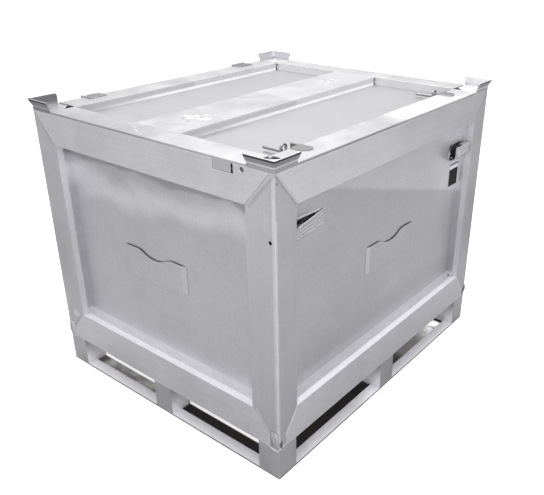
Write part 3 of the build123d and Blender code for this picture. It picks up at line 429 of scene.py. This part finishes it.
# top faces get painted light from up_gain
LID = metal("lid_sheet", base=0.76, seed=5.0, up_gain=1.05, marks=LID_BANDS, **LID_SHEET,
            matte=[(box(soft=0.0005, Z=(None, LID_TOP)), 0.35)])
LID_BORDER = metal("lid_border_sheet", base=0.70, seed=5.5, up_gain=1.10, **LID_SHEET, matte=[
    (box(soft=0.0005, Z=(None, LID_TOP), X=(-0.545, 0.545), Y=(-0.46, 0.45)), 0.35),
    (LID_CORNERS, 0.05),
    (box(soft=0.0004, AX=(0.5118, 0.5250), Z=(None, LID_TOP)), 0.10),
    (box(soft=0.0004, AY=(0.4262, 0.4400), Z=(None, LID_TOP)), 0.10),
], marks=[
    # painted light and shade on the border: darker at the left rear, a little darker at the front
    # left, lighter at the front right
    (box(soft=0.20, X=(None, -0.50), Y=(-0.10, None)), 0.72),
    (box(soft=0.12, X=(-0.56, 0.02), Y=(None, -0.42)), 0.95),
    (box(soft=0.06, X=(0.00, 0.42), Y=(None, -0.40)), 1.30),
    (LID_CORNERS, 1.05), *LID_BANDS])
LID_RECESS = metal("lid_recess_sheet", base=0.47, rough=0.52, brush_amt=0.0, bump=0.0,
                   mottle=0.0, seed=7.0, metallic=0.8, tint=(0.995, 0.995, 1.02), grain=0.012)
# stacking corners: painted light on faces that look up; round the top a dark line at the edge,
# painted shade on the flare and a painted highlight on the strip below; the right corners lighter
# and the left rear ones darker, with painted shade on the left rear upright
BRACKET = metal("stacking_corner", base=0.56, brush="none", brush_amt=0.03, bump=0.10,
                mottle=0.08, edge=0.12, seed=9.0, up_gain=1.6, marks=[
                    (outer_box(soft=0.0008, Z=(0.9945, 1.0005)), 0.12),
                    (outer_box(soft=0.004, Z=(0.984, 0.9945)), 0.66),
                    (outer_box(soft=0.0008, Z=(0.9775, 0.9805)), 1.7),
                    (box(soft=0.01, X=(BRACKET_X, None)), 1.20),
                    (box(soft=0.01, X=(None, -BRACKET_X), Y=(0.40, None)), 0.74),
                    (both(box(soft=0.002, X=(None, -BRACKET_X), Y=(0.508, None)),
                          box(soft=0.002, Z=(0.980, None))), 0.44)])

HARDWARE = metal("zinc_hardware", base=0.36, rough=0.30, brush="none", bump=0.15, mottle=0.12,
                 edge=0.25, seed=11.0, tint=(1.0, 0.995, 0.985))
DARK_BOLT = metal("dark_bolt_steel", base=0.16, rough=0.40, brush="none", bump=0.15,
                  mottle=0.12, edge=0.10, seed=11.5, tint=(1.0, 0.99, 0.98))
INNER_FLOOR = metal("inner_floor", base=0.6, rough=0.40, brush_amt=0.03, bump=0.08, seed=13.0)
# strong painted highlights on the rounded edges of the latch covers
COVER = metal("latch_cover_sheet", base=0.60, rough=0.34, brush_amt=0.02, bump=0.08, edge=1.6,
              seed=17.0, edge_radius=0.0016, metallic=0.7)
# near-white, barely metallic: painted highlights on the gate's rims, studs and hem
TRIM_HIGHLIGHT = metal("trim_highlight", base=0.93, rough=0.30, brush_amt=0.02, bump=0.08, mottle=0.04,
               seed=23.0, metallic=0.15, tint=(1.0, 1.0, 1.01))
LID_WELD = metal("ground_lid_weld", base=0.80, rough=0.28, brush="none", brush_amt=0.10,
                 bump=0.5, mottle=0.12, seed=25.0, spots=(60.0, 0.50), metallic=0.70,
                 tint=(1.0, 0.995, 1.01))
BLACK = plastic("plate_black", colour=(0.008, 0.008, 0.009), rough=0.75)
WHITE = plastic("label_white", colour=(0.9, 0.9, 0.9), rough=0.55)
# black: the lid gasket, and the painted shade strips in the pocket mouths
RUBBER_AND_SHADE = plastic("gasket_rubber", colour=(0.02, 0.02, 0.02), rough=0.75)
WELD = metal("ground_weld", base=0.80, rough=0.30, brush="none", brush_amt=0.10, bump=0.35,
             mottle=0.16, seed=19.0)
DARK_WELD = metal("heat_tinted_weld", base=0.22, rough=0.40, brush="none", brush_amt=0.10,
                  bump=0.45, mottle=0.25, seed=21.0)

# ---------------------------------------------------------------------------
# dressing the CAD pieces
# ---------------------------------------------------------------------------
LOOKS = {name: material for material, names in (
    (FRONT_LOW, "bottom_beam_front bottom_beam_rear"),
    (FRONT, "top_beam_front top_beam_rear"),
    (SIDE_LOW, "bottom_beam_left bottom_beam_right"),
    (SIDE, "top_beam_left top_beam_right"),
    (PANEL, "panel_left panel_right panel_rear"),
    (GATE, "gate_panel"),
    (GATE_POCKET, "document_pocket_gate"),
    (PANEL_POCKET, "document_pocket_left"),
    (LID_BORDER, "lid_frame"),
    (LID, "lid_centre_beam"),
    (LID_RECESS, "lid_panel_front lid_panel_rear"),
    (RUBBER_AND_SHADE, "lid_gasket"),
    (BLACK, "type_plate"),
    (WHITE, "label_strip"),
    (COVER, "gate_latch_cover_left gate_latch_cover_right"),
    (DARK_BOLT, "gate_bolt_left gate_bolt_right gate_bolt_guides"),
    (INNER_FLOOR, "floor_sheet floor_joists gate_stops"),
    (SKID, "skid_plates_long skid_plates_short"),
) for name in names.split()}


def material_for(name):
    if name in LOOKS:
        return LOOKS[name]
    if name.startswith("corner_post"):
        return POST
    if "foot" in name:
        return FOOT
    if name.startswith("stacking_bracket"):
        return BRACKET
    if "bolt" in name or "hinge" in name or "pin" in name:
        return HARDWARE
    return SIDE


def edge_width(name):
    """Width of the softened edges, or None for pieces left sharp."""
    if name.startswith(("corner_post", "bottom_beam", "top_beam")):
        return 0.0012
    if name.startswith(("stacking_bracket", "lid_frame", "lid_centre")):
        return 0.0010
    if "foot" in name:
        return 0.0015
    if name.startswith(("lid_bolt", "gate_bolt", "lid_hinge", "frame_hinge")):
        return 0.0004
    return None


def dress(piece, material):
    if not piece.material_slots:
        piece.data.materials.append(material)
    for slot in piece.material_slots:
        slot.link = "OBJECT"
        slot.material = material


def soften(piece, width):
    bevel = piece.modifiers.new("soft_edges", "BEVEL")
    bevel.width = width
    bevel.segments = 2
    bevel.limit_method = "ANGLE"
    bevel.angle_limit = math.radians(40)
    bevel.use_clamp_overlap = True
    bevel.harden_normals = False


for name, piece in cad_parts.items():
    dress(piece, material_for(name))
    width = edge_width(name)
    if width:
        soften(piece, width)

# ---------------------------------------------------------------------------
# weld beads and patches
# ---------------------------------------------------------------------------


def new_mesh(name, verts, faces, material, body, smooth=True):
    """Mesh object that rides on a body of the product."""
    mesh = bpy.data.meshes.new(name)
    mesh.from_pydata([tuple(v) for v in verts], [], faces)
    mesh.validate()
    mesh.update()
    piece = bpy.data.objects.new(name, mesh)
    scene.collection.objects.link(piece)
    if smooth:
        for polygon in mesh.polygons:
            polygon.use_smooth = True
    dress(piece, material)
    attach(piece, body)
    return piece


def tube_faces(rings, sides):
    """Wall faces of a tube made of successive vertex rings."""
    return [(i * sides + j, i * sides + (j + 1) % sides,
             (i + 1) * sides + (j + 1) % sides, (i + 1) * sides + j)
            for i in range(rings - 1) for j in range(sides)]


def bead(name, start, end, radius, body, material, lump=0.35, flat=0.6, up=(0, 0, 1),
         step=0.0025, seed=1.0):
    """Lumpy bead: a tube with tapered ends, flattened along up."""
    sides = 10
    start, end, up = Vector(start), Vector(end), Vector(up).normalized()
    count = max(2, int((end - start).length / step))
    points = [start.lerp(end, i / count) for i in range(count)] + [end]
    verts = []
    for i, point in enumerate(points):
        along = (points[min(i + 1, count)] - points[max(i - 1, 0)]).normalized()
        side = along.cross(up).normalized()
        top = side.cross(along).normalized()
        taper = min(1.0, 0.25 + min(i, count - i) * step / (2.0 * radius))
        swell = noise.noise(Vector((i * 0.55 + seed * 13.7, seed, 0.0)))
        ring = radius * taper * (1.0 + lump * swell)
        for j in range(sides):
            angle = 2 * math.pi * j / sides
            dent = noise.noise(Vector((i * 0.9, j * 1.3, seed * 3.1)))
            r = ring * (1.0 + 0.18 * lump * dent)
            verts.append(point + side * math.cos(angle) * r + top * math.sin(angle) * r * flat)
    faces = tube_faces(count + 1, sides)
    faces.append(tuple(range(sides - 1, -1, -1)))
    faces.append(tuple(count * sides + j for j in range(sides)))
    new_mesh(name, verts, faces, material, body)


def patch(name, centre, along, across, size, height, body, material, seed=1.0, cells=22,
          freq=90.0, base=0.6):
    """Irregular patch, bumpy towards along x across, with its rim sunk and its back flat."""
    centre = Vector(centre)
    along, across = Vector(along).normalized(), Vector(across).normalized()
    normal = along.cross(across)
    grid, bumpy = [], []
    for i in range(cells + 1):
        for j in range(cells + 1):
            a = (i / cells - 0.5) * 2
            b = (j / cells - 0.5) * 2
            point = centre + along * a * size[0] / 2 + across * b * size[1] / 2
            ragged = noise.noise(Vector((math.atan2(b, a) * 1.1 + seed, seed * 2.0, 0.0)))
            rim = 0.80 + 0.20 * ragged
            full = 1.0 - min(1.0, math.sqrt(a * a + b * b) / rim) ** 4
            rise = noise.noise(point * freq + Vector((seed, seed * 0.3, 0.0)))
            h = height * (base + 1.1 * rise)
            h = h * full - height * 0.25 * (1 - full)
            grid.append(point)
            bumpy.append(point + normal * h)
    verts = bumpy + [point - normal * height * 0.9 for point in grid]
    row = cells + 1
    back = len(grid)
    faces = [(i * row + j, (i + 1) * row + j, (i + 1) * row + j + 1, i * row + j + 1)
             for i in range(cells) for j in range(cells)]
    faces += [tuple(back + k for k in (quad[0], quad[3], quad[2], quad[1])) for quad in faces]
    last = cells * row
    for i in range(cells):
        for a, b in ((i + 1, i), (last + i, last + i + 1), (i * row, (i + 1) * row),
                     ((i + 1) * row + cells, i * row + cells)):
            faces.append((a, b, back + b, back + a))
    new_mesh(name, verts, faces, material, body)


# patches facing along x and along y lie upright; this is their second direction
UPRIGHT = (0, 0, 1)
SEAT_Z = 0.1095            # height of the beads between foot and beam
RETURN_Z = 0.2275          # height of the beads on the beam returns
CAP_Z = (0.9560, 0.9585)   # bottom and top of the corner cap
CAP_INSET = (0.0045, 0.094)
# beads on the inner corner of the returns: tag, inset in x and y, run in x and y
RETURN_BEADS = (("side", 0.012, 0.100, 0.018, 0.0), ("face", 0.087, 0.012, 0.0, 0.018))


def corner_details(tag, sx, sy):
    """Welds and cap of the corner on the sides given by the signs sx and sy."""
    variant = 1.0 + abs(sx + 2 * sy)

    def at(inset_x, inset_y, z):
        return (HALF_LENGTH * sx - inset_x * sx, HALF_WIDTH * sy - inset_y * sy, z)

    # The bumpy face of the side patches is turned inward, that of the front ones outward.
    side_way, front_way = (0, -sx, 0), (-sy, 0, 0)
    patch("weld_patch_side_low_" + tag, at(0, 0.017, 0.140), side_way, UPRIGHT,
          size=(0.034, 0.070), height=0.00030, body="container", material=WELD,
          seed=3.1 * variant)
    patch("weld_patch_front_low_" + tag, at(0.011, 0, 0.128), front_way, UPRIGHT,
          size=(0.020, 0.044), height=0.00028, body="container", material=DARK_WELD,
          seed=4.3 * variant)
    # upright bead on the outer edge, then two level beads at the top of the foot
    bead("weld_bead_edge_low_" + tag, at(0, 0, 0.118), at(0, 0, 0.160), radius=0.0022,
         body="container", material=WELD, up=(sx, sy, 0), flat=0.9, seed=variant)
    bead("weld_bead_foot_" + tag, at(0.001, 0.080, SEAT_Z), at(0.001, 0.004, SEAT_Z),
         radius=0.0014, body="container", material=DARK_WELD, up=(sx, 0, 0), flat=0.8,
         seed=variant + 0.4)
    bead("weld_bead_foot_face_" + tag, at(0.080, 0.001, SEAT_Z), at(0.004, 0.001, SEAT_Z),
         radius=0.0014, body="container", material=DARK_WELD, up=(0, sy, 0), flat=0.8,
         seed=variant + 0.8)
    # spots at the top of the mitres
    patch("weld_spot_top_side_" + tag, at(0, 0.036, 0.950), side_way, UPRIGHT,
          size=(0.008, 0.007), height=0.0006, body="container", material=WELD,
          seed=5.7 * variant, cells=10)
    patch("weld_spot_top_front_" + tag, at(0.010, 0, 0.938), front_way, UPRIGHT,
          size=(0.007, 0.010), height=0.0006, body="container", material=DARK_WELD,
          seed=6.1 * variant, cells=10)
    for side, inset_x, inset_y, run_x, run_y in RETURN_BEADS:
        x, y, z = at(inset_x, inset_y, RETURN_Z)
        bead("weld_bead_return_%s_%s" % (side, tag), (x, y, z), (x - run_x * sx, y - run_y * sy, z),
             radius=0.0026, body="container", material=WELD, seed=variant + 1.5)
    # closed top of the corner, below the stacking bracket
    (x0, x1), (y0, y1) = (sorted(pair) for pair in list(zip(*(at(i, i, 0) for i in CAP_INSET)))[:2])
    verts = [(x, y, z) for z in CAP_Z for x, y in ((x0, y0), (x1, y0), (x1, y1), (x0, y1))]
    faces = [(3, 2, 1, 0), (4, 5, 6, 7), (0, 1, 5, 4), (1, 2, 6, 5), (2, 3, 7, 6), (3, 0, 4, 7)]
    cap = new_mesh("corner_cap_" + tag, verts, faces, LID_RECESS, "container", smooth=False)
    soften(cap, 0.0008)


for tag, sx, sy in (("front_left", -1, -1), ("front_right", 1, -1),
                    ("rear_left", -1, 1), ("rear_right", 1, 1)):
    corner_details(tag, sx, sy)

# lump of weld at the lower outer edge of the front right post
patch("weld_lump_front_right", (0.5965, -0.515, 0.141), (1, 0, 0), UPRIGHT,
      size=(0.010, 0.040), height=0.0022, body="container", material=DARK_WELD, seed=9.0)
bead("weld_lump_edge_right", (0.6005, -0.5145, 0.123), (0.6005, -0.5145, 0.160), radius=0.0058,
     body="container", material=DARK_WELD, up=(1, 0, 0), flat=0.8, lump=0.6, seed=9.4)

# ground welds on the lid: slanted streaks by the side borders, patches further in
LID_WELD_Z = 0.972
STREAK = ((0.42, 0.91, 0), (-0.91, 0.42, 0))
LEVEL = ((1, 0, 0), (0, 1, 0))
# name, x, y, directions, size, height, other settings
for name, x, y, directions, size, height, settings in (
    ("streak_left", -0.553, 0.060, STREAK, (0.130, 0.020), 0.0009, dict(seed=2.2)),
    ("streak_right", 0.553, 0.040, STREAK, (0.110, 0.016), 0.0008, dict(seed=2.9)),
    ("patch_left", -0.362, 0.003, LEVEL, (0.158, 0.132), 0.0030,
     dict(seed=7.7, cells=44, freq=60.0, base=0.55)),
    ("patch_right", 0.356, 0.014, LEVEL, (0.110, 0.064), 0.0022,
     dict(seed=8.8, cells=34, freq=80.0, base=0.45)),
):
    patch("lid_weld_" + name, (x, y, LID_WELD_Z), *directions, size=size, height=height,
          body="lid", material=LID_WELD, **settings)

# ---------------------------------------------------------------------------
# dark strips just inside the mouths of the document pockets: painted shade in the mouths
# ---------------------------------------------------------------------------
MOUTH_TOP = 0.577
STRIP_DEPTH = 0.012
STRIP_GAP = 0.0002         # distance of the strip from the sheet behind it
# dip of the mouth: place along it, height above MOUTH_TOP
MOUTH_DIP = [(-0.076, 0.0), (-0.0608, -0.0041), (-0.0319, -0.0164), (0.0, -0.0205),
             (0.0319, -0.0164), (0.0608, -0.0041), (0.076, 0.0)]


def mouth_height(along):
    for (a0, dip0), (a1, dip1) in zip(MOUTH_DIP[:-1], MOUTH_DIP[1:]):
        if a0 <= along <= a1:
            t = (along - a0) / (a1 - a0)
            eased = t * t * (3 - 2 * t)
            return MOUTH_TOP + dip0 + (dip1 - dip0) * (0.5 * t + 0.5 * eased)
    return MOUTH_TOP


def mouth_shade_strip(name, to_world, spans, body):
    """Dark strips along a mouth that paint the shade in it; spans are start, end, thickness."""
    for number, (start, end, thickness) in enumerate(spans):
        count = max(6, int((end - start) / 0.003))
        verts = []
        for i in range(count + 1):
            along = start + (end - start) * i / count
            outer = thickness * min(1.0, 0.3 + min(i, count - i) / 5.0)
            top = mouth_height(along) - 0.0004
            low = top - STRIP_DEPTH
            for out, z in ((STRIP_GAP, top), (STRIP_GAP, low), (outer, low), (outer, top)):
                verts.append(to_world(along, out, z))
        faces = tube_faces(count + 1, 4)
        faces += [(3, 2, 1, 0), tuple(count * 4 + j for j in range(4))]
        new_mesh("%s_%d" % (name, number), verts, faces, RUBBER_AND_SHADE, body, smooth=False)


mouth_shade_strip("pocket_mouth_shade_left", lambda along, out, z: (-0.560 - out, 0.018 - along, z),
           ((-0.122, 0.052, 0.0034), (0.078, 0.122, 0.0030)), "container")
mouth_shade_strip("pocket_mouth_shade_gate", lambda along, out, z: (0.031 + along, -0.475 - out, z),
           ((-0.122, -0.082, 0.0034), (-0.070, 0.078, 0.0030)), "gate")

# upright beads in the corners of the lid
for number, (x, y) in enumerate(((0.5085, 0.4133), (0.5085, -0.0877),
                                 (-0.5085, 0.4133), (-0.5085, -0.0877))):
    bead("lid_corner_bead_%d" % number, (x, y, 0.9450), (x, y, 0.9600), radius=0.0028,
         body="lid", material=WELD, up=(1, 1, 0), flat=0.9, seed=number + 20.0)

# rims, studs and hem round the latch covers and slots of the gate, in a near-white material that
# paints their highlights
RIM_Z = 0.7892
GATE_TRIM = dict(body="gate", material=TRIM_HIGHLIGHT)
COVER_RIM = dict(flat=1.0, lump=0.05, step=0.006, **GATE_TRIM)
bead("gate_cover_rim_left", (-0.504, -0.5075, RIM_Z), (-0.352, -0.4785, RIM_Z),
     radius=0.0012, **COVER_RIM)
bead("gate_cover_rim_right", (0.4040, -0.5090, RIM_Z), (0.5060, -0.5090, RIM_Z),
     radius=0.0010, **COVER_RIM)
SLOT_TRIM = dict(up=(0, -1, 0), flat=0.9, **GATE_TRIM)
bead("gate_slot_rim_right", (0.4190, -0.4758, 0.7360), (0.4190, -0.4758, 0.7850),
     radius=0.0013, lump=0.4, step=0.003, **SLOT_TRIM)
# studs: x, y, z, radius
for number, (x, y, z, r) in enumerate(((0.4225, -0.4785, 0.7745, 0.0034),
                                       (0.4225, -0.4780, 0.7580, 0.0026),
                                       (0.4300, -0.4795, 0.7420, 0.0036))):
    bead("gate_slot_stud_%d" % number, (x, y, z - r), (x, y, z + r), radius=r, lump=0.1,
         step=0.0006, **SLOT_TRIM)
bead("gate_slot_hem_left", (-0.466, -0.4758, 0.7960), (-0.360, -0.4758, 0.7915),
     radius=0.0022, lump=0.05, step=0.006, **SLOT_TRIM)

# ---------------------------------------------------------------------------
# stage: floor, world, lights, camera
# ---------------------------------------------------------------------------
FLOOR_HALF = 30.0
FLOOR_Z = -0.0004
OPEN_FLOOR = (0.92, 0.92, 0.92, 1)


def floor_material():
    """White to the camera, with painted shadow and painted glow below the container; plain grey to
    all other rays.
    """
    material = bpy.data.materials.new("studio_floor")
    m = Nodes(material)
    # painted shadow on the floor below the container, less a strip along its left side, which stays
    # lit
    under = m.times(m.zone(soft=0.004, X=(-0.590, 0.585), Y=(-0.505, 0.50)),
                    m.invert(m.zone(soft=0.003, X=(-0.5195, -0.44), Y=(-0.43, 0.50))))
    # painted light: emitted streaky glow at the front right, and a faint one at the left edge
    streak = m.remap(m.noise(26.0, detail=3.0), (0.38, 0.60), (0.30, 1.0))
    glow = m.times(m.zone(soft=0.085, X=(0.39, None), Y=(None, -0.38)), streak,
                   m.invert(m.zone(soft=0.006, X=(0.500, 0.560), Y=(None, -0.38))))
    faint = m.remap(m.noise(17.0, detail=3.0), (0.36, 0.62), (0.05, 0.26))
    left_edge = m.zone(soft=0.012, X=(None, -0.5195), Y=(0.0, 0.40))
    glow = m.math("ADD", glow, m.times(left_edge, faint))
    strength = m.math("ADD", m.times(m.invert(under), 0.55), m.times(under, glow, 0.95))
    # painted shadow below the container: each zone paints over the ones before
    shade = (0.045, 0.042, 0.040, 1)
    for soft, limits, colour in (
        (0.10, dict(X=(0.03, None), Y=(None, -0.30)), (0.42, 0.41, 0.40, 1)),
        (0.03, dict(X=(0.02, 0.19), Y=(None, -0.38)), (0.12, 0.115, 0.11, 1)),
        (0.008, dict(X=(0.505, 0.56), Y=(None, -0.38)), (0.03, 0.03, 0.03, 1)),
        (0.03, dict(X=(None, -0.50), Y=(0.0, None)), (0.17, 0.155, 0.15, 1)),
    ):
        shade = m.mix(m.zone(soft, **limits), shade, colour)
    painted = m.node("ShaderNodeBsdfDiffuse", {"Color": m.mix(under, OPEN_FLOOR, shade)})
    light = m.node("ShaderNodeEmission", {"Color": (1, 1, 1, 1), "Strength": strength})
    seen = m.node("ShaderNodeAddShader", {0: painted.outputs[0], 1: light.outputs[0]})
    plain = m.node("ShaderNodeBsdfDiffuse", {"Color": (0.46, 0.46, 0.46, 1)})
    camera_ray = m.node("ShaderNodeLightPath").outputs["Is Camera Ray"]
    switch = m.node("ShaderNodeMixShader",
                    {0: camera_ray, 1: plain.outputs[0], 2: seen.outputs[0]})
    m.node("ShaderNodeOutputMaterial", {0: switch.outputs[0]})
    return material


def studio_floor():
    mesh = bpy.data.meshes.new("studio_floor")
    corners = ((-1, -1), (1, -1), (1, 1), (-1, 1))
    mesh.from_pydata([(x * FLOOR_HALF, y * FLOOR_HALF, FLOOR_Z) for x, y in corners],
                     [], [(0, 1, 2, 3)])
    floor = bpy.data.objects.new("studio_floor", mesh)
    scene.collection.objects.link(floor)
    mesh.materials.append(floor_material())


def studio_world():
    """Grey up to the horizon, whitening towards the zenith."""
    scene.world = bpy.data.worlds.new("studio")
    m = Nodes(scene.world)
    height = m.split(m.node("ShaderNodeTexCoord").outputs["Generated"])[2]
    ramp = m.node("ShaderNodeValToRGB", {0: m.remap(height, (-1.0, 1.0), (0.0, 1.0))})
    stops = ramp.color_ramp.elements
    stops[0].position = 0.0
    stops[0].color = (0.40, 0.40, 0.40, 1)
    stops[1].position = 1.0
    stops[1].color = (1.0, 1.0, 1.0, 1)
    stops.new(0.5).color = (0.40, 0.40, 0.40, 1)
    stops.new(0.68).color = (0.95, 0.95, 0.96, 1)
    background = m.node("ShaderNodeBackground", {0: ramp.outputs[0], 1: 1.0})
    m.node("ShaderNodeOutputWorld", {0: background.outputs[0]})


def area_light(name, location, target, size, power):
    light = bpy.data.lights.new(name, "AREA")
    light.shape = "RECTANGLE"
    light.size, light.size_y = size
    light.energy = power
    lamp = bpy.data.objects.new(name, light)
    lamp.location = location
    aim = Vector(target) - Vector(location)
    lamp.rotation_euler = aim.to_track_quat("-Z", "Y").to_euler()
    scene.collection.objects.link(lamp)


# Camera position and axes in the world, then its lens.
CAMERA_PLACE = (-1.740875, -1.500846, 1.488475)
CAMERA_RIGHT = (0.623614, -0.781732, -0.000769)
CAMERA_UP = (0.337051, 0.267989, 0.902540)
CAMERA_BACK = (-0.705339, -0.563095, 0.430605)
SENSOR_WIDTH = 36.0        # mm
FOCAL_LENGTH = 44.0460662  # mm
SHIFT = (-0.0494558824, 0.0022205882)  # share of the image width


def studio_camera():
    data = bpy.data.cameras.new("camera")
    data.sensor_fit = "HORIZONTAL"
    data.sensor_width = SENSOR_WIDTH
    data.lens = FOCAL_LENGTH
    data.shift_x, data.shift_y = SHIFT
    data.clip_start = 0.05
    data.clip_end = 100
    camera = bpy.data.objects.new("camera", data)
    turn = Matrix((CAMERA_RIGHT, CAMERA_UP, CAMERA_BACK)).transposed()
    camera.matrix_world = Matrix.Translation(CAMERA_PLACE) @ turn.to_4x4()
    scene.collection.objects.link(camera)
    scene.camera = camera


studio_floor()
studio_world()
area_light("key_top", (0.2, 0.3, 3.4), target=(0, 0, 0.6), size=(3.2, 3.2), power=70)
area_light("left_soft", (-3.6, -0.6, 1.6), target=(-0.6, 0, 0.5), size=(2.6, 2.0), power=26)
area_light("front_soft", (-1.6, -3.6, 1.4), target=(-0.1, -0.5, 0.5), size=(2.2, 2.0), power=18)
studio_camera()
